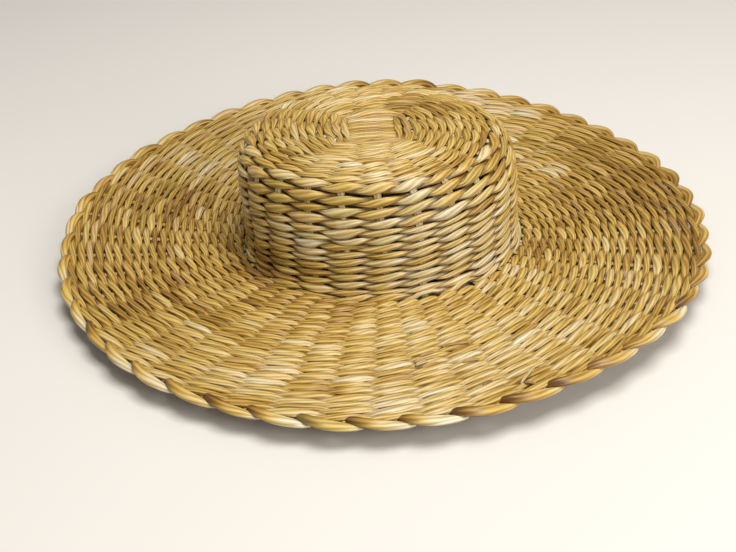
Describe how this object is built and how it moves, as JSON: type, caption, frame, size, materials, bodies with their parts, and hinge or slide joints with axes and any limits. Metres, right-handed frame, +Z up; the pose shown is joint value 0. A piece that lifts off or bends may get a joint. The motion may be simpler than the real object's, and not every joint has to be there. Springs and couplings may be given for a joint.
{
  "type": "woven hat",
  "caption": "Wide-brimmed sun hat with a low oval crown, twined from twisted leaf, with a scalloped edge",
  "frame": {"origin": "On the surface the hat lies on, under the middle of the crown and of the brim", "axes": "+Z is up through the tip of the crown, X runs along the length of the head, and -Y faces the viewer of the picture"},
  "size_m": [0.4828, 0.4828, 0.096],
  "materials": {
    "golden_straw": "satin dried leaf",
    "pale_straw": "satin dried leaf",
    "brown_straw": "satin dried leaf"
  },
  "bodies": {
    "root": {"crown_tip": "golden_straw", "crown_side": "golden_straw", "brim": "golden_straw", "edge_border": "pale_straw", "cross_strip_over_1": "pale_straw", "cross_strip_over_2": "pale_straw", "cross_strip_over_3": "pale_straw", "cross_strip_over_4": "pale_straw", "cross_strip_over_5": "pale_straw", "cross_strip_over_6": "pale_straw", "cross_strip_under_1": "brown_straw", "cross_strip_under_2": "brown_straw", "cross_strip_under_3": "brown_straw", "cross_strip_under_4": "brown_straw", "cross_strip_under_5": "brown_straw", "cross_strip_under_6": "brown_straw"}
  },
  "joints": []
}
